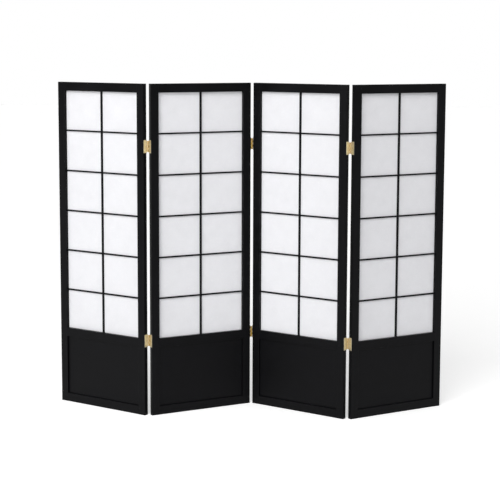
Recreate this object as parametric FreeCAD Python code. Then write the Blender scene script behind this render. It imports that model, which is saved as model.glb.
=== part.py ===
import FreeCAD, Part
import math
import os

# A folding screen of four equal panels, hinged edge to edge and standing in a zigzag.
# Each panel is a wooden frame with a square lattice backed by paper above and a solid
# kick panel below. All sizes are in millimetres.
#
# A panel is drawn in its own frame: X runs from its left edge to its right edge, Y runs
# from its front face (0) to its back face (panel_thickness) and Z runs up from the floor.

# Overall size of one panel
panel_width = 444.5
panel_height = 1320.0
panel_thickness = 19.0

# How far the screen turns at each joint as it stands, from 0 (flat) to 180 (folded shut)
rest_folds = (64.0, 65.0, 67.0)
# The face that each joint's barrels stand out of, so that the screen folds like a fan
barrel_sides = ("back", "front", "back")

# Frame members
stile_width = 33.5
top_rail_height = 35.0
mid_rail_height = 35.0
bottom_rail_height = 35.0
kick_opening_height = 240.0
arris_radius = 0.8

# Blind mortise and tenon at every rail end
tenon_thickness = 6.0
tenon_length = 14.0
tenon_shoulder = 8.0
glue_gap = 0.1

# Kick panel, held loose in grooves all round
kick_thickness = 6.0
groove_depth = 7.0
groove_slack = 0.1
kick_side_play = 0.5

# Lattice of one centre bar and evenly spaced cross bars, let into the frame from the back
cross_bar_count = 5
centre_bar_width = 7.5
cross_bar_height = 6.0
bar_depth = 6.0
bar_recess = 7.6
bar_end_housing = 6.0
bar_arris_radius = 0.5
lap_clearance = 0.05

# Paper, laid on the back of the lattice in a rebate and held by beads
paper_thickness = 0.5
paper_margin = 0.5
rebate_width = 8.0
bead_play = 0.2
bead_radius = 1.0

# Butt hinges: a leaf on each stile edge, five knuckles and a fixed pin. The barrel stops
# short of the leaves at both ends.
leaf_height = 50.8
barrel_height = 42.0
upper_hinge_from_top = 245.0
lower_hinge_height = 302.0
barrel_radius = 3.4
barrel_stand_off = 4.0
leaf_gauge = 1.3
leaf_edge_margin = 1.0
leaf_corner_radius = 1.5
knuckle_count = 5
knuckle_gap = 0.3
knuckle_clearance = 0.4
pin_radius = 2.0
pin_running_clearance = 0.05
pin_head_radius = 3.0
pin_head_height = 1.0

# Countersunk screws, three to a leaf
screw_length = 16.0
screw_shank_radius = 1.5
screw_head_radius = 2.8
screw_head_angle = 82.0
screw_tip_length = 3.0
screw_end_distance = 8.4
screw_stagger = 2.0
screw_clearance = 0.05
drive_slot_length = 2.8
drive_slot_width = 0.6
drive_slot_depth = 0.8

# Heights and depths that follow from the sizes above
mid_rail_bottom = bottom_rail_height + kick_opening_height
mid_rail_top = mid_rail_bottom + mid_rail_height
top_rail_bottom = panel_height - top_rail_height
inner_width = panel_width - 2 * stile_width
paper_depth = bar_recess + bar_depth
middle_depth = panel_thickness / 2
hinge_heights = {"upper": panel_height - upper_hinge_from_top, "lower": lower_hinge_height}


def block(x_range, y_range, z_range):
    """A plain box between two limits along each axis."""
    low = [min(limits) for limits in (x_range, y_range, z_range)]
    high = [max(limits) for limits in (x_range, y_range, z_range)]
    sides = [end - start for start, end in zip(low, high)]
    return Part.makeBox(*sides, FreeCAD.Vector(*low))


def centred(middle, width):
    """The two limits of a width laid evenly about its middle."""
    return (middle - width / 2, middle + width / 2)


def grown(limits, margin):
    """Limits moved outwards by a margin at both ends."""
    return (limits[0] - margin, limits[1] + margin)


def eased(solid, radius, direction):
    """A stick with its four long edges rounded over."""
    long_edges = []
    for edge in solid.Edges:
        run = edge.Vertexes[-1].Point - edge.Vertexes[0].Point
        if abs(run.normalize().dot(direction)) > 0.99:
            long_edges.append(edge)
    return solid.makeFillet(radius, long_edges)


def tenon_heights(rail_bottom, rail_height):
    """The bottom and top of the tenon on a rail, inside its two shoulders."""
    return (rail_bottom + tenon_shoulder, rail_bottom + rail_height - tenon_shoulder)


def cross_bar_middles():
    """The heights of the cross bars, which leave equal openings above and below each."""
    opening = top_rail_bottom - mid_rail_top
    clear = (opening - cross_bar_count * cross_bar_height) / (cross_bar_count + 1)
    step = clear + cross_bar_height
    return [mid_rail_top + clear + cross_bar_height / 2 + i * step for i in range(cross_bar_count)]


# Frame of one panel

rails = (
    (0.0, bottom_rail_height),
    (mid_rail_bottom, mid_rail_height),
    (top_rail_bottom, top_rail_height),
)
bar_depths = (bar_recess, paper_depth)
rebate_depths = (paper_depth, panel_thickness)
groove_depths = centred(middle_depth, kick_thickness + 2 * groove_slack)
rebate_heights = (mid_rail_top - rebate_width, top_rail_bottom + rebate_width)
groove_heights = (bottom_rail_height - groove_depth, mid_rail_bottom + groove_depth)


def stile(side):
    """An upright of the frame, with its mortises, kick panel groove and paper rebate."""
    if side == "left":
        outer, inner, inward = 0.0, stile_width, 1.0
    else:
        outer, inner, inward = panel_width, panel_width - stile_width, -1.0
    body = block((outer, inner), (0, panel_thickness), (0, panel_height))
    body = eased(body, arris_radius, FreeCAD.Vector(0, 0, 1))
    cuts = []
    mortise_depths = grown(centred(middle_depth, tenon_thickness), glue_gap)
    for rail_bottom, rail_height in rails:
        mortise_end = inner - inward * (tenon_length + glue_gap)
        heights = grown(tenon_heights(rail_bottom, rail_height), glue_gap)
        cuts.append(block((mortise_end, inner), mortise_depths, heights))
    cuts.append(block((inner - inward * groove_depth, inner), groove_depths, groove_heights))
    cuts.append(block((inner - inward * rebate_width, inner), rebate_depths, rebate_heights))
    for middle in cross_bar_middles():
        heights = centred(middle, cross_bar_height + 2 * lap_clearance)
        housing = (inner - inward * (bar_end_housing + lap_clearance), inner)
        cuts.append(block(housing, grown(bar_depths, lap_clearance), heights))
    return body.cut(cuts).removeSplitter()


def rail(rail_bottom, rail_height):
    """A plain cross member of the frame, with a tenon at each end."""
    left = stile_width
    right = panel_width - stile_width
    body = block((left, right), (0, panel_thickness), (rail_bottom, rail_bottom + rail_height))
    body = eased(body, arris_radius, FreeCAD.Vector(1, 0, 0))
    heights = tenon_heights(rail_bottom, rail_height)
    tenon_depths = centred(middle_depth, tenon_thickness)
    tongue = block((left - tenon_length, right + tenon_length), tenon_depths, heights)
    return body.fuse(tongue)


def centre_bar_housing(edge, outwards):
    """The notch in a rail that takes an end of the centre bar."""
    across = centred(panel_width / 2, centre_bar_width + 2 * lap_clearance)
    heights = (edge, edge + outwards * (bar_end_housing + lap_clearance))
    return block(across, grown(bar_depths, lap_clearance), heights)


def top_rail():
    """The top cross member, rebated below for the paper."""
    across = (stile_width, panel_width - stile_width)
    rebate = block(across, rebate_depths, (top_rail_bottom, rebate_heights[1]))
    cuts = [rebate, centre_bar_housing(top_rail_bottom, 1)]
    return rail(top_rail_bottom, top_rail_height).cut(cuts).removeSplitter()


def mid_rail():
    """The cross member between paper and kick panel, rebated above and grooved below."""
    across = (stile_width, panel_width - stile_width)
    rebate = block(across, rebate_depths, (rebate_heights[0], mid_rail_top))
    groove = block(across, groove_depths, (mid_rail_bottom, groove_heights[1]))
    cuts = [rebate, groove, centre_bar_housing(mid_rail_top, -1)]
    return rail(mid_rail_bottom, mid_rail_height).cut(cuts).removeSplitter()


def bottom_rail():
    """The cross member at the floor, grooved above for the kick panel."""
    across = (stile_width, panel_width - stile_width)
    groove = block(across, groove_depths, (groove_heights[0], bottom_rail_height))
    return rail(0.0, bottom_rail_height).cut(groove).removeSplitter()


def kick_panel():
    """The solid lower panel, standing on the bottom of its groove."""
    reach = groove_depth - kick_side_play
    across = grown((stile_width, panel_width - stile_width), reach)
    heights = (groove_heights[0], groove_heights[1] - kick_side_play)
    return block(across, centred(middle_depth, kick_thickness), heights)


# Lattice and paper of one panel

lap_depth = bar_recess + bar_depth / 2


def eased_bar(x_range, z_range, direction):
    """A lattice bar with its two front edges rounded over."""
    bar = block(x_range, bar_depths, z_range)
    front_edges = []
    for edge in bar.Edges:
        run = edge.Vertexes[-1].Point - edge.Vertexes[0].Point
        at_front = edge.CenterOfMass.y < lap_depth
        if at_front and abs(run.normalize().dot(direction)) > 0.99:
            front_edges.append(edge)
    return bar.makeFillet(bar_arris_radius, front_edges)


def centre_bar():
    """The upright lattice bar, notched behind where it crosses each cross bar."""
    heights = grown((mid_rail_top, top_rail_bottom), bar_end_housing)
    across = centred(panel_width / 2, centre_bar_width)
    bar = eased_bar(across, heights, FreeCAD.Vector(0, 0, 1))
    notch_depths = (lap_depth, paper_depth + lap_clearance)
    notches = []
    for middle in cross_bar_middles():
        notch_heights = centred(middle, cross_bar_height + 2 * lap_clearance)
        notches.append(block(across, notch_depths, notch_heights))
    return bar.cut(notches)


def cross_bars():
    """The level lattice bars, each notched in front where the centre bar crosses it."""
    across = grown((stile_width, panel_width - stile_width), bar_end_housing)
    notch_across = centred(panel_width / 2, centre_bar_width + 2 * lap_clearance)
    notch_depths = (bar_recess - lap_clearance, lap_depth)
    bars = []
    for middle in cross_bar_middles():
        heights = centred(middle, cross_bar_height)
        bar = eased_bar(across, heights, FreeCAD.Vector(1, 0, 0))
        bars.append(bar.cut(block(notch_across, notch_depths, heights)))
    return Part.makeCompound(bars)


def paper():
    """The sheet of paper, glued to the back of the lattice and laid in the rebate."""
    reach = rebate_width - paper_margin
    across = grown((stile_width, panel_width - stile_width), reach)
    heights = grown((mid_rail_top, top_rail_bottom), reach)
    return block(across, (paper_depth, paper_depth + paper_thickness), heights)


def rounded_bead(x_range, z_range, inner_edge, axis):
    """A bead with its back edge towards the paper rounded over."""
    bead = block(x_range, (paper_depth + paper_thickness, panel_thickness), z_range)
    for edge in bead.Edges:
        middle = edge.CenterOfMass
        at_back = abs(middle.y - panel_thickness) < 0.01
        if at_back and abs(getattr(middle, axis) - inner_edge) < 0.01:
            return bead.makeFillet(bead_radius, [edge])
    return bead


def paper_beads():
    """Four beads that fill the rebate behind the paper, the upright ones running through."""
    heights = grown(rebate_heights, -bead_play)
    reach = rebate_width - bead_play
    left = stile_width
    right = panel_width - stile_width
    return Part.makeCompound([
        rounded_bead((left - reach, left), heights, left, "x"),
        rounded_bead((right, right + reach), heights, right, "x"),
        rounded_bead((left, right), (heights[0], mid_rail_top), mid_rail_top, "z"),
        rounded_bead((left, right), (top_rail_bottom, heights[1]), top_rail_bottom, "z"),
    ])


# Hinges. A hinge is drawn about its own axis, which runs up Z through the origin at the
# middle of the hinge's height. "wood" is -1 for the leaf whose stile lies towards -X and
# 1 for the leaf whose stile lies towards +X. "face" is 1 where the stile's edge runs
# from the axis towards +Y and -1 where it runs towards -Y.

leaf_reach = barrel_stand_off + panel_thickness - leaf_edge_margin
screw_row = barrel_stand_off + middle_depth
knuckle_length = barrel_height / knuckle_count


def knuckle_heights(wood):
    """The heights of the knuckles that belong to one leaf, with a gap between leaves."""
    first = 0 if wood < 0 else 1
    spans = []
    for i in range(first, knuckle_count, 2):
        low = -barrel_height / 2 + i * knuckle_length
        high = low + knuckle_length
        if i > 0:
            low += knuckle_gap / 2
        if i < knuckle_count - 1:
            high -= knuckle_gap / 2
        spans.append((low, high))
    return spans


def screw_places(face):
    """Depth and height of a leaf's three screws from the hinge's axis, the middle one staggered."""
    end_height = leaf_height / 2 - screw_end_distance
    outer = face * (screw_row + screw_stagger)
    inner = face * (screw_row - screw_stagger)
    return [(outer, -end_height), (inner, 0.0), (outer, end_height)]


def screw(wood, depth, height, margin):
    """A countersunk screw driven into a stile's edge, or the hole for it with a margin."""
    into = FreeCAD.Vector(wood, 0, 0)
    mouth = FreeCAD.Vector(wood * (barrel_radius - leaf_gauge), depth, height)
    head_length = (screw_head_radius - screw_shank_radius) / math.tan(math.radians(screw_head_angle / 2))
    shank = screw_shank_radius + margin
    head = Part.makeCone(screw_head_radius + margin, shank, head_length, mouth, into)
    straight = screw_length - head_length - screw_tip_length
    body = Part.makeCylinder(shank, straight, mouth + into * head_length, into)
    tip_length = screw_tip_length + margin
    tip = Part.makeCone(shank, 0, tip_length, mouth + into * (head_length + straight), into)
    return head.fuse([body, tip])


def drive_recess(wood, depth, height):
    """The crossed slots in a screw's head."""
    mouth = wood * (barrel_radius - leaf_gauge)
    across = (mouth, mouth + wood * drive_slot_depth)
    long_side = drive_slot_length / 2
    short_side = drive_slot_width / 2
    upright = block(across, grown((depth, depth), short_side), grown((height, height), long_side))
    level = block(across, grown((depth, depth), long_side), grown((height, height), short_side))
    return upright.fuse(level)


def leaf(wood, face):
    """One leaf of a hinge: its plate on the stile's edge and its knuckles round the pin."""
    plate_across = (wood * (barrel_radius - leaf_gauge), wood * barrel_radius)
    plate_start = face * (barrel_radius + knuckle_clearance)
    plate_heights = centred(0, leaf_height)
    plate = block(plate_across, (plate_start, face * leaf_reach), plate_heights)
    corners = []
    for edge in plate.Edges:
        middle = edge.CenterOfMass
        at_corner = abs(abs(middle.z) - leaf_height / 2) < 0.01
        if at_corner and abs(middle.y - face * leaf_reach) < 0.01 and edge.Length < 2 * leaf_gauge:
            corners.append(edge)
    plate = plate.makeFillet(leaf_corner_radius, corners)
    pieces = []
    bores = []
    up = FreeCAD.Vector(0, 0, 1)
    for low, high in knuckle_heights(wood):
        foot = FreeCAD.Vector(0, 0, low)
        pieces.append(Part.makeCylinder(barrel_radius, high - low, foot, up))
        pieces.append(block(plate_across, (0, plate_start), (low, high)))
        bore_radius = pin_radius + pin_running_clearance
        bores.append(Part.makeCylinder(bore_radius, high - low, foot, up))
    holes = [screw(wood, depth, height, screw_clearance) for depth, height in screw_places(face)]
    return plate.fuse(pieces).cut(bores + holes).removeSplitter()


def pin():
    """The hinge pin, with a low head closed over each end of the barrel."""
    up = FreeCAD.Vector(0, 0, 1)
    half = barrel_height / 2
    shaft = Part.makeCylinder(pin_radius, barrel_height, FreeCAD.Vector(0, 0, -half), up)
    heads = []
    for base, direction in ((half, up), (-half, -up)):
        foot = FreeCAD.Vector(0, 0, base)
        head = Part.makeCylinder(pin_head_radius, pin_head_height, foot, direction)
        outer_rim = []
        for edge in head.Edges:
            if abs(abs(edge.CenterOfMass.z) - half - pin_head_height) < 0.01 and edge.Closed:
                outer_rim.append(edge)
        heads.append(head.makeFillet(pin_head_height / 2, outer_rim))
    return shaft.fuse(heads).removeSplitter()


def axis_point(barrel_side, panel_end):
    """Where a hinge's axis passes a panel, in the panel's own frame."""
    if barrel_side == "back":
        depth = panel_thickness + barrel_stand_off
    else:
        depth = -barrel_stand_off
    if panel_end == "right":
        return FreeCAD.Vector(panel_width + barrel_radius, depth, 0)
    return FreeCAD.Vector(-barrel_radius, depth, 0)


def hinge_face(barrel_side):
    """The way from a hinge's axis to the stile edge: towards the front from a back barrel."""
    return -1 if barrel_side == "back" else 1


# Each panel's place. A convex joint, with its barrels behind, turns the next panel away
# from the viewer, and a concave one turns it back.

def panel_places():
    """The corner and the turn of each panel, as if the first one lay along X."""
    corner = FreeCAD.Vector(0, 0, 0)
    turn = 0.0
    places = [(corner, turn)]
    for fold, barrel_side in zip(rest_folds, barrel_sides):
        here = FreeCAD.Rotation(FreeCAD.Vector(0, 0, 1), turn)
        axis = corner + here.multVec(axis_point(barrel_side, "right"))
        turn += fold if barrel_side == "back" else -fold
        there = FreeCAD.Rotation(FreeCAD.Vector(0, 0, 1), turn)
        corner = axis - there.multVec(axis_point(barrel_side, "left"))
        places.append((corner, turn))
    return places


def panel_placements():
    """Placements that bring the screen's two outer edges in line along X."""
    places = panel_places()
    last_corner, last_turn = places[-1]
    last_rotation = FreeCAD.Rotation(FreeCAD.Vector(0, 0, 1), last_turn)
    chord = last_corner + last_rotation.multVec(FreeCAD.Vector(panel_width, 0, 0))
    levelling = FreeCAD.Rotation(FreeCAD.Vector(0, 0, 1), -math.degrees(math.atan2(chord.y, chord.x)))
    placements = []
    for corner, turn in places:
        rotation = levelling.multiply(FreeCAD.Rotation(FreeCAD.Vector(0, 0, 1), turn))
        placements.append(FreeCAD.Placement(levelling.multVec(corner), rotation))
    return placements


def placed(shape, placement):
    """A copy of a shape moved from its own frame to its place in the screen."""
    return shape.transformed(placement.toMatrix(), copy=True)


panel_pieces = {
    "left_stile": stile("left"),
    "right_stile": stile("right"),
    "top_rail": top_rail(),
    "mid_rail": mid_rail(),
    "bottom_rail": bottom_rail(),
    "kick_panel": kick_panel(),
    "centre_bar": centre_bar(),
    "cross_bars": cross_bars(),
    "paper": paper(),
    "paper_beads": paper_beads(),
}


def leaf_fittings(joint, panel_end):
    """The hinges' axes on one end of a panel: wood side, face side and place by height."""
    barrel_side = barrel_sides[joint]
    wood = -1 if panel_end == "right" else 1
    point = axis_point(barrel_side, panel_end)
    axes = {name: point + FreeCAD.Vector(0, 0, height) for name, height in hinge_heights.items()}
    return wood, hinge_face(barrel_side), axes


def screen_nodes():
    """Every named piece of the screen in its place, before the origin is set."""
    nodes = {}
    placements = panel_placements()
    for number, placement in enumerate(placements, 1):
        pieces = dict(panel_pieces)
        screws = []
        ends = []
        if number > 1:
            ends.append((number - 2, "left"))
        if number < len(placements):
            ends.append((number - 1, "right"))
        for joint, panel_end in ends:
            wood, face, axes = leaf_fittings(joint, panel_end)
            stile_name = panel_end + "_stile"
            leaf_side = "left" if panel_end == "right" else "right"
            for name, axis in axes.items():
                pilots = []
                for depth, height in screw_places(face):
                    pilot = screw(wood, depth, height, screw_clearance)
                    fitted = screw(wood, depth, height, 0).cut(drive_recess(wood, depth, height))
                    pilots.append(pilot.translated(axis))
                    screws.append(fitted.translated(axis))
                pieces[stile_name] = pieces[stile_name].cut(pilots)
                node = f"hinge_{joint + 1}_{name}_{leaf_side}_leaf"
                nodes[node] = placed(leaf(wood, face).translated(axis), placement)
            if panel_end == "right":
                pins = [pin().translated(axis) for axis in axes.values()]
                nodes[f"hinge_{joint + 1}_pins"] = placed(Part.makeCompound(pins), placement)
        pieces["hinge_screws"] = Part.makeCompound(screws)
        for name, shape in pieces.items():
            nodes[f"panel_{number}_{name}"] = placed(shape, placement)
    return nodes


nodes = screen_nodes()

# The origin is on the floor, under the middle of the screen's box.
bounds = Part.makeCompound(list(nodes.values())).BoundBox
to_origin = FreeCAD.Vector(-bounds.Center.x, -bounds.Center.y, 0)

os.makedirs("parts", exist_ok=True)
for name, shape in sorted(nodes.items()):
    shape.translated(to_origin).exportStep(f"parts/{name}.step")

for joint, barrel_side in enumerate(barrel_sides):
    placement = panel_placements()[joint]
    axis = placement.multVec(axis_point(barrel_side, "right")) + to_origin
    print(f"joint {joint + 1} axis at X {axis.x:.3f} Y {axis.y:.3f}, folded {rest_folds[joint]:.1f}")
print(f"{len(nodes)} nodes, {bounds.XLength:.1f} x {bounds.YLength:.1f} x {bounds.ZLength:.1f}")
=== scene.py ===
import math

import bpy
from mathutils import Matrix, Vector


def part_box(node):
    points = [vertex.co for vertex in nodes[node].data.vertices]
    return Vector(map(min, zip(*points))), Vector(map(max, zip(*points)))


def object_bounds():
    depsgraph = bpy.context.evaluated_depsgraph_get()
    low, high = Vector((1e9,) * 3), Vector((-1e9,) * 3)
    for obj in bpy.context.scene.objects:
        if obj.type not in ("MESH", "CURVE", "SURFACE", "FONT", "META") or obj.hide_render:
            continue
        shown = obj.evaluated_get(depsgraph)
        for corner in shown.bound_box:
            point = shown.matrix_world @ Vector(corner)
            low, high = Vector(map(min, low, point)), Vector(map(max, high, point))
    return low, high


# The screen as packed: four equal panels, hinged edge to edge, standing in a zigzag.
# Wood, paper and metal keep the sizes and places that they have in the frame.
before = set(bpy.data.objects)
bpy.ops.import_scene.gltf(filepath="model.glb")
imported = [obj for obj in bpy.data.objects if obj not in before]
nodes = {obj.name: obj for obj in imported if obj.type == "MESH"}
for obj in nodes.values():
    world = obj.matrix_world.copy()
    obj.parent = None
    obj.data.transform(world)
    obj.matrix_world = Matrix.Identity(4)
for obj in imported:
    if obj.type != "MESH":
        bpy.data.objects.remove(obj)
cad_low, cad_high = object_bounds()
panel_numbers = (1, 2, 3, 4)
bpy.ops.object.select_all(action="DESELECT")


# Stiles: the two uprights of each panel, planed softwood strips mortised for the rails.
# They are sprayed with black satin lacquer after glue-up. The film is thin enough that
# the grain still shows in its gloss, running up the piece.
mm = 0.001
stile_width = 0.0335
panel_thickness = 0.019
softwood_ring_width_mm = 3.2
softwood_ring_length_mm = 260.0
softwood_ring_relief_mm = 0.05
softwood_ring_detail = 3.0
softwood_ring_roughness = 0.6
lacquer_black = "040405"
lacquer_thin = "0a0a0d"
lacquer_gloss = 0.10
lacquer_ior = 1.5
film_drift_mm = 90.0
film_drift_detail = 2.0
film_ripple_mm = 2.6
film_ripple_relief_mm = 0.012
film_ripple_detail = 1.0
# Where rings and drift multiply to the first of these the film on softwood is full and
# smooth, and at the second it is thin and rough.
softwood_film_full = 0.12
softwood_film_thin = 0.42
softwood_satin_smooth = 0.32
softwood_satin_rough = 0.46
# A colour Mix node has several inputs of one name, so they go by number: its share, the
# two colours that it mixes, and the colour that comes out.
mix_share, mix_first, mix_second, mix_colour = 0, 6, 7, 2


def linear(hex_colour):
    """An sRGB hex colour as the linear one that a shader takes."""
    parts = [int(hex_colour[i:i + 2], 16) / 255 for i in (0, 2, 4)]
    return [p / 12.92 if p <= 0.04045 else ((p + 0.055) / 1.055) ** 2.4 for p in parts] + [1.0]


def set_inputs(owner, node, inputs):
    """Links each input of a node that is given a socket, and sets each that is given a value."""
    for name, value in inputs.items():
        if isinstance(value, bpy.types.NodeSocket):
            owner.node_tree.links.new(value, node.inputs[name])
        else:
            node.inputs[name].default_value = value


def add_node(owner, kind, inputs, **settings):
    """Adds a node to a material or world, with its settings, and its inputs set or linked."""
    node = owner.node_tree.nodes.new("ShaderNode" + kind)
    for name, value in settings.items():
        setattr(node, name, value)
    set_inputs(owner, node, inputs)
    return node


def panel_place(number):
    """The front left corner of a panel at the floor, and its turn about the vertical."""
    left_low, left_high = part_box(f"panel_{number}_left_stile")
    right_low, right_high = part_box(f"panel_{number}_right_stile")
    left_middle = (left_low + left_high) / 2
    across = (right_low + right_high) / 2 - left_middle
    turn = Matrix.Rotation(math.atan2(across.y, across.x), 3, "Z")
    return left_middle - turn @ Vector((stile_width / 2, panel_thickness / 2, left_middle.z)), turn


def panel_axes(material, number):
    """Millimetres across a panel from its left edge, back from its face and up from the floor."""
    corner, turn = panel_place(number)
    place = add_node(material, "TexCoord", {}).outputs["Object"]
    return add_node(
        material,
        "Mapping",
        {"Vector": place, "Location": corner, "Rotation": turn.to_euler(), "Scale": (mm, mm, mm)},
        vector_type="TEXTURE",
    ).outputs["Vector"]


def film_drift(material, axes):
    """The broad waves, about a hand wide, in which a sprayed film comes out thick or thin."""
    return add_node(
        material,
        "TexNoise",
        {"Vector": axes, "Scale": 1 / film_drift_mm, "Detail": film_drift_detail},
    ).outputs["Fac"]


def spray_black(material, axes, wood, wood_relief_mm, thinness, satin):
    """Black satin lacquer over the relief of the wood, with the fine ripple of a spray gun."""
    colour = add_node(
        material,
        "Mix",
        {
            mix_share: thinness,
            mix_first: linear(lacquer_black),
            mix_second: linear(lacquer_thin),
        },
        data_type="RGBA",
    ).outputs[mix_colour]
    over_wood = add_node(
        material,
        "Bump",
        {"Height": wood, "Distance": wood_relief_mm * mm, "Strength": 1.0},
    ).outputs["Normal"]
    ripple = add_node(
        material,
        "TexNoise",
        {"Vector": axes, "Scale": 1 / film_ripple_mm, "Detail": film_ripple_detail},
    ).outputs["Fac"]
    sprayed = add_node(
        material,
        "Bump",
        {
            "Height": ripple,
            "Distance": film_ripple_relief_mm * mm,
            "Strength": 1.0,
            "Normal": over_wood,
        },
    ).outputs["Normal"]
    set_inputs(
        material,
        material.node_tree.nodes["Principled BSDF"],
        {
            "Base Color": colour,
            "Roughness": satin,
            "Normal": sprayed,
            "IOR": lacquer_ior,
            "Specular IOR Level": lacquer_gloss,
        },
    )


def lacquered_softwood(name, number, grain):
    """Black satin lacquer on planed softwood, with the grain along "up" or "across"."""
    material = bpy.data.materials.new(name)
    material.use_nodes = True
    axes = panel_axes(material, number)
    fine = 1 / softwood_ring_width_mm
    long = 1 / softwood_ring_length_mm
    stretch = (fine, fine, long) if grain == "up" else (long, fine, fine)
    along_grain = add_node(material, "Mapping", {"Vector": axes, "Scale": stretch})
    rings = add_node(
        material,
        "TexNoise",
        {
            "Vector": along_grain.outputs["Vector"],
            "Scale": 1.0,
            "Detail": softwood_ring_detail,
            "Roughness": softwood_ring_roughness,
        },
    ).outputs["Fac"]
    drift = film_drift(material, axes)
    film = add_node(material, "Math", {0: rings, 1: drift}, operation="MULTIPLY").outputs[0]
    film_range = {
        "Value": film,
        "From Min": softwood_film_full,
        "From Max": softwood_film_thin,
    }
    satin_range = {"To Min": softwood_satin_smooth, "To Max": softwood_satin_rough}
    thinness = add_node(material, "MapRange", film_range).outputs["Result"]
    satin = add_node(material, "MapRange", film_range | satin_range).outputs["Result"]
    spray_black(material, axes, rings, softwood_ring_relief_mm, thinness, satin)
    return material


def finish_node(name, material):
    """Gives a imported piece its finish."""
    for slot in nodes[name].material_slots:
        slot.material = material


for number in panel_numbers:
    upright_lacquer = lacquered_softwood(f"black_lacquer_on_stiles_{number}", number, "up")
    for side in ("left", "right"):
        finish_node(f"panel_{number}_{side}_stile", upright_lacquer)


# Rails: three cross members to a panel, tenoned into the stiles and lacquered with them.
# It is the same film on the same wood, with the grain running across the panel.
for number in panel_numbers:
    level_lacquer = lacquered_softwood(f"black_lacquer_on_rails_{number}", number, "across")
    for height in ("top", "mid", "bottom"):
        finish_node(f"panel_{number}_{height}_rail", level_lacquer)


# Kick panels: 6 mm plywood, loose in grooves in the stiles and rails and sprayed before
# it goes in. The face veneer is filled and sanded, so the film lies flatter than on the
# frame and shows only long soft waves with a fine spray ripple.
veneer_wave_width_mm = 14.0
veneer_wave_length_mm = 420.0
veneer_wave_relief_mm = 0.05
veneer_wave_detail = 2.0
plywood_film_full = 0.3
plywood_film_thin = 0.7
plywood_satin_smooth = 0.34
plywood_satin_rough = 0.44
for number in panel_numbers:
    board_lacquer = bpy.data.materials.new(f"black_lacquer_on_plywood_{number}")
    board_lacquer.use_nodes = True
    axes = panel_axes(board_lacquer, number)
    along_veneer = add_node(
        board_lacquer,
        "Mapping",
        {
            "Vector": axes,
            "Scale": (1 / veneer_wave_length_mm, 1.0, 1 / veneer_wave_width_mm),
        },
    )
    waves = add_node(
        board_lacquer,
        "TexNoise",
        {
            "Vector": along_veneer.outputs["Vector"],
            "Scale": 1.0,
            "Detail": veneer_wave_detail,
        },
    ).outputs["Fac"]
    drift = film_drift(board_lacquer, axes)
    satin = add_node(
        board_lacquer,
        "MapRange",
        {
            "Value": drift,
            "From Min": plywood_film_full,
            "From Max": plywood_film_thin,
            "To Min": plywood_satin_smooth,
            "To Max": plywood_satin_rough,
        },
    ).outputs["Result"]
    spray_black(board_lacquer, axes, waves, veneer_wave_relief_mm, drift, satin)
    finish_node(f"panel_{number}_kick_panel", board_lacquer)


# Lattice: one upright bar and five level ones to a panel, halved into each other and let
# into the frame from behind. They are thin planed strips in the frame's own lacquer.
for number in panel_numbers:
    finish_node(
        f"panel_{number}_centre_bar",
        lacquered_softwood(f"black_lacquer_on_centre_bar_{number}", number, "up"),
    )
    finish_node(
        f"panel_{number}_cross_bars",
        lacquered_softwood(f"black_lacquer_on_cross_bars_{number}", number, "across"),
    )


# Paper: one sheet of machine-made washi to a panel, glued to the back of the lattice and
# stretched tight. It is white and matt, lets about two fifths of the light through, and
# clouds and long plant fibres show faintly in it.
washi_white = "f4f4f6"
washi_thick = "ececee"
washi_fibre_white = "ffffff"
washi_light_through = 0.42
washi_roughness = 0.9
washi_gloss = 0.1
washi_cloud_mm = 34.0
washi_cloud_detail = 4.0
washi_cloud_roughness = 0.55
washi_relief_mm = 0.05
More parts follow.
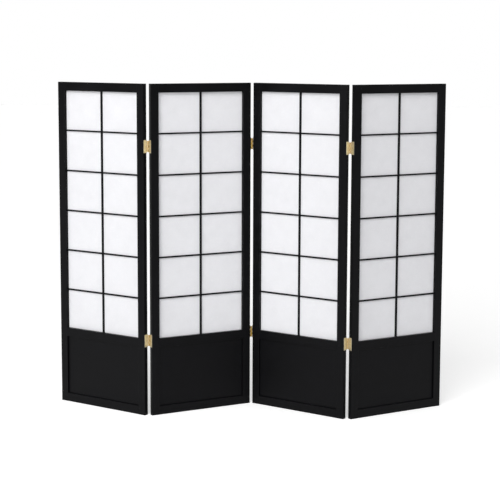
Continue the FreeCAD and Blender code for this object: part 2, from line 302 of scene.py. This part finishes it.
# A fibre lies where the tangle, which runs from 0 to 1, passes its middle.
washi_tangle_mm = 22.0
washi_tangle_detail = 2.0
washi_tangle_roughness = 0.4
washi_tangle_twist = 1.4
washi_tangle_middle = 0.5
washi_fibre_reach = 0.012
washi_fibre_share = 0.35
for number in panel_numbers:
    washi = bpy.data.materials.new(f"washi_paper_{number}")
    washi.use_nodes = True
    axes = panel_axes(washi, number)
    clouds = add_node(
        washi,
        "TexNoise",
        {
            "Vector": axes,
            "Scale": 1 / washi_cloud_mm,
            "Detail": washi_cloud_detail,
            "Roughness": washi_cloud_roughness,
        },
    ).outputs["Fac"]
    tangle = add_node(
        washi,
        "TexNoise",
        {
            "Vector": axes,
            "Scale": 1 / washi_tangle_mm,
            "Detail": washi_tangle_detail,
            "Roughness": washi_tangle_roughness,
            "Distortion": washi_tangle_twist,
        },
    ).outputs["Fac"]
    beside_fibre = add_node(
        washi, "Math", {0: tangle, 1: washi_tangle_middle}, operation="SUBTRACT"
    ).outputs[0]
    off_fibre = add_node(washi, "Math", {0: beside_fibre}, operation="ABSOLUTE").outputs[0]
    fibre = add_node(
        washi,
        "MapRange",
        {"Value": off_fibre, "From Max": washi_fibre_reach, "To Min": 1.0, "To Max": 0.0},
    ).outputs["Result"]
    fibre_share = add_node(
        washi, "MapRange", {"Value": fibre, "To Max": washi_fibre_share}
    ).outputs["Result"]
    cloudy = add_node(
        washi,
        "Mix",
        {
            mix_share: clouds,
            mix_first: linear(washi_white),
            mix_second: linear(washi_thick),
        },
        data_type="RGBA",
    ).outputs[mix_colour]
    colour = add_node(
        washi,
        "Mix",
        {
            mix_share: fibre_share,
            mix_first: cloudy,
            mix_second: linear(washi_fibre_white),
        },
        data_type="RGBA",
    ).outputs[mix_colour]
    relief = add_node(washi, "Math", {0: clouds, 1: fibre}, operation="ADD").outputs[0]
    felted = add_node(
        washi,
        "Bump",
        {"Height": relief, "Distance": washi_relief_mm * mm, "Strength": 1.0},
    ).outputs["Normal"]
    sheet = washi.node_tree.nodes["Principled BSDF"]
    set_inputs(
        washi,
        sheet,
        {
            "Base Color": colour,
            "Normal": felted,
            "Roughness": washi_roughness,
            "Specular IOR Level": washi_gloss,
        },
    )
    glow = add_node(washi, "BsdfTranslucent", {"Color": colour, "Normal": felted})
    paper = add_node(
        washi,
        "MixShader",
        {0: washi_light_through, 1: sheet.outputs[0], 2: glow.outputs[0]},
    )
    set_inputs(washi, washi.node_tree.nodes["Material Output"], {"Surface": paper.outputs[0]})
    finish_node(f"panel_{number}_paper", washi)


# Beads: four slim strips to a panel that lie in the rebate behind the paper and hold its
# edges. They are cut from the same softwood and lacquered black.
for number in panel_numbers:
    finish_node(
        f"panel_{number}_paper_beads",
        lacquered_softwood(f"black_lacquer_on_beads_{number}", number, "up"),
    )


# Hinges: pressed steel butt hinges, brass plated and brushed up the leaf. The plating is a
# pale gold on the flat of a leaf and warmer on the screws. The knuckles and pins, which
# stand out past the wood, get a deeper gold that is painted shade of the shaded barrel.
joint_numbers = (1, 2, 3)
brass_pale = "e8e1cf"
brass_warm = "cec097"
# Painted shade: the deeper gold given to the knuckles, standing in for their shaded barrels.
knuckle_shade_brass = "bc9848"
# Real brush lines lie about 0.1 mm apart, and these are drawn coarser so that they show.
brush_line_mm = 0.5
brush_length_mm = 30.0
brush_relief_mm = 0.02
brush_detail = 2.0
brush_smoother = 0.08
brush_rougher = 0.12
tarnish_spread_mm = 7.0
tarnish_detail = 3.0
knuckle_start_mm = 10.0
knuckle_blend_mm = 1.0
leaf_roughness = 0.38
pin_roughness = 0.30
screw_roughness = 0.32


def plated_brass(name, number, flat, roughness):
    """Brushed brass plating, of one colour on the flat, with painted shade in a deeper gold out on
    the knuckles.
    """
    material = bpy.data.materials.new(name)
    material.use_nodes = True
    axes = panel_axes(material, number)
    brushed = add_node(
        material,
        "Mapping",
        {"Vector": axes, "Scale": (1 / brush_line_mm, 1 / brush_line_mm, 1 / brush_length_mm)},
    )
    lines = add_node(
        material,
        "TexNoise",
        {"Vector": brushed.outputs["Vector"], "Scale": 1.0, "Detail": brush_detail},
    ).outputs["Fac"]
    tarnish = add_node(
        material,
        "TexNoise",
        {"Vector": axes, "Scale": 1 / tarnish_spread_mm, "Detail": tarnish_detail},
    ).outputs["Fac"]
    depth = add_node(material, "SeparateXYZ", {"Vector": axes}).outputs["Y"]
    from_middle = add_node(
        material,
        "Math",
        {0: depth, 1: panel_thickness / mm / 2},
        operation="SUBTRACT",
    ).outputs[0]
    outwards = add_node(material, "Math", {0: from_middle}, operation="ABSOLUTE").outputs[0]
    # Painted shade: past the faces of the wood, the knuckles take the deeper gold of a barrel in
    # shade.
    knuckle_shade = add_node(
        material,
        "MapRange",
        {
            "Value": outwards,
            "From Min": knuckle_start_mm,
            "From Max": knuckle_start_mm + knuckle_blend_mm,
        },
    ).outputs["Result"]
    flat_colour = add_node(
        material,
        "Mix",
        {mix_share: tarnish, mix_first: linear(flat), mix_second: linear(brass_warm)},
        data_type="RGBA",
    ).outputs[mix_colour]
    colour = add_node(
        material,
        "Mix",
        {mix_share: knuckle_shade, mix_first: flat_colour, mix_second: linear(knuckle_shade_brass)},
        data_type="RGBA",
    ).outputs[mix_colour]
    brushing = add_node(
        material,
        "MapRange",
        {
            "Value": lines,
            "To Min": roughness - brush_smoother,
            "To Max": roughness + brush_rougher,
        },
    ).outputs["Result"]
    scored = add_node(
        material,
        "Bump",
        {"Height": lines, "Distance": brush_relief_mm * mm, "Strength": 1.0},
    ).outputs["Normal"]
    set_inputs(
        material,
        material.node_tree.nodes["Principled BSDF"],
        {"Base Color": colour, "Roughness": brushing, "Normal": scored, "Metallic": 1.0},
    )
    return material


leaf_brass = {
    number: plated_brass(f"brass_plated_leaves_{number}", number, brass_pale, leaf_roughness)
    for number in panel_numbers
}
for joint in joint_numbers:
    for height in ("upper", "lower"):
        finish_node(f"hinge_{joint}_{height}_left_leaf", leaf_brass[joint])
        finish_node(f"hinge_{joint}_{height}_right_leaf", leaf_brass[joint + 1])
    finish_node(
        f"hinge_{joint}_pins",
        plated_brass(f"brass_hinge_pins_{joint}", joint, brass_warm, pin_roughness),
    )
for number in panel_numbers:
    finish_node(
        f"panel_{number}_hinge_screws",
        plated_brass(f"brass_plated_screws_{number}", number, brass_warm, screw_roughness),
    )


# Floor: a seamless sheet of white studio paper, much larger than the picture. It takes
# the screen's soft shadow, and the top-up of its own white keeps the rest of it white.
floor_white = "eeeeee"
floor_reach = 60.0
floor_top_up = 0.42
white_light = (1, 1, 1, 1)


def mirrored_or_through(owner, seen_by):
    """1 for what is seen in a gloss or through something clear, and 0 for the rest."""
    return add_node(
        owner,
        "Math",
        {0: seen_by.outputs["Is Glossy Ray"], 1: seen_by.outputs["Is Transmission Ray"]},
        operation="MAXIMUM",
    ).outputs[0]


bpy.ops.mesh.primitive_plane_add(size=floor_reach, location=(0, 0, cad_low.z))
floor = bpy.context.active_object
floor.name = "studio_floor"
bpy.ops.object.transform_apply(location=True, rotation=True, scale=True)
bpy.ops.object.select_all(action="DESELECT")
studio_paper = bpy.data.materials.new("white_studio_paper")
studio_paper.use_nodes = True
seen_by = add_node(studio_paper, "LightPath", {})
in_view = add_node(
    studio_paper,
    "Math",
    {0: seen_by.outputs["Is Camera Ray"], 1: mirrored_or_through(studio_paper, seen_by)},
    operation="MAXIMUM",
).outputs[0]
top_up = add_node(
    studio_paper, "Math", {0: in_view, 1: floor_top_up}, operation="MULTIPLY"
).outputs[0]
set_inputs(
    studio_paper,
    studio_paper.node_tree.nodes["Principled BSDF"],
    {
        "Base Color": linear(floor_white),
        "Roughness": 1.0,
        "Specular IOR Level": 0.0,
        "Emission Color": white_light,
        "Emission Strength": top_up,
    },
)
floor.data.materials.append(studio_paper)


# Studio: the room's own soft light from all round, white behind the screen in the
# picture, with a broad soft key lamp in front and a softbox out on the left.
room_light = 0.35
backdrop_light = 1.0
# The backdrop fades in over these two, as shares of straight back.
backdrop_starts = -0.1
backdrop_full = 0.3
room = bpy.data.worlds.new("studio_room")
bpy.context.scene.world = room
room.use_nodes = True
seen_by = add_node(room, "LightPath", {})
direction = add_node(room, "TexCoord", {}).outputs["Generated"]
backwards = add_node(room, "SeparateXYZ", {"Vector": direction}).outputs["Y"]
backdrop_side = add_node(
    room,
    "MapRange",
    {"Value": backwards, "From Min": backdrop_starts, "From Max": backdrop_full},
).outputs["Result"]
mirrored_backdrop = add_node(
    room,
    "Math",
    {0: mirrored_or_through(room, seen_by), 1: backdrop_side},
    operation="MULTIPLY",
).outputs[0]
white_share = add_node(
    room,
    "Math",
    {0: seen_by.outputs["Is Camera Ray"], 1: mirrored_backdrop},
    operation="MAXIMUM",
).outputs[0]
strength = add_node(
    room,
    "MapRange",
    {"Value": white_share, "To Min": room_light, "To Max": backdrop_light},
).outputs["Result"]
set_inputs(
    room, room.node_tree.nodes["Background"], {"Color": white_light, "Strength": strength}
)

key_strength = 1.82
key_azimuth = math.radians(-10)
key_height = math.radians(35)
key_spread = math.radians(40)
bpy.ops.object.light_add(type="SUN", rotation=(math.pi / 2 - key_height, 0, key_azimuth))
key = bpy.context.active_object
key.name = "soft_key"
key.data.energy = key_strength
key.data.angle = key_spread

softbox_place = Vector((-1.5, -2.5, 1.9))
softbox_aim = Vector((0.0, 0.0, 0.7))
softbox_width = 1.8
softbox_power = 36.0
softbox_turn = (softbox_aim - softbox_place).to_track_quat("-Z", "Y").to_euler()
bpy.ops.object.light_add(type="AREA", location=softbox_place, rotation=softbox_turn)
softbox = bpy.context.active_object
softbox.name = "left_softbox"
softbox.data.shape = "SQUARE"
softbox.data.size = softbox_width
softbox.data.energy = softbox_power


# Camera: at a standing viewer's eye height, 5.8 m in front and a little to the right,
# tipped down towards the screen. The lens is shifted by no more than framing it needs.
camera_place = (0.2847, -5.7598, 1.4684)
camera_turn = math.radians(2.764)
camera_dip = math.radians(7.452)
camera_lean = math.radians(0.215)
camera_lens_mm = 104.57
camera_sensor_mm = 36.0
camera_shift_right = -0.001
camera_shift_up = -0.029
bpy.ops.object.camera_add(location=camera_place)
camera = bpy.context.active_object
camera.name = "viewer"
aim = Matrix.Rotation(camera_turn, 3, "Z") @ Matrix.Rotation(math.pi / 2 - camera_dip, 3, "X")
camera.rotation_euler = (aim @ Matrix.Rotation(camera_lean, 3, "Z")).to_euler()
camera.data.lens = camera_lens_mm
camera.data.sensor_width = camera_sensor_mm
camera.data.shift_x = camera_shift_right
camera.data.shift_y = camera_shift_up
bpy.context.scene.camera = camera
bpy.context.scene.view_settings.view_transform = "Standard"
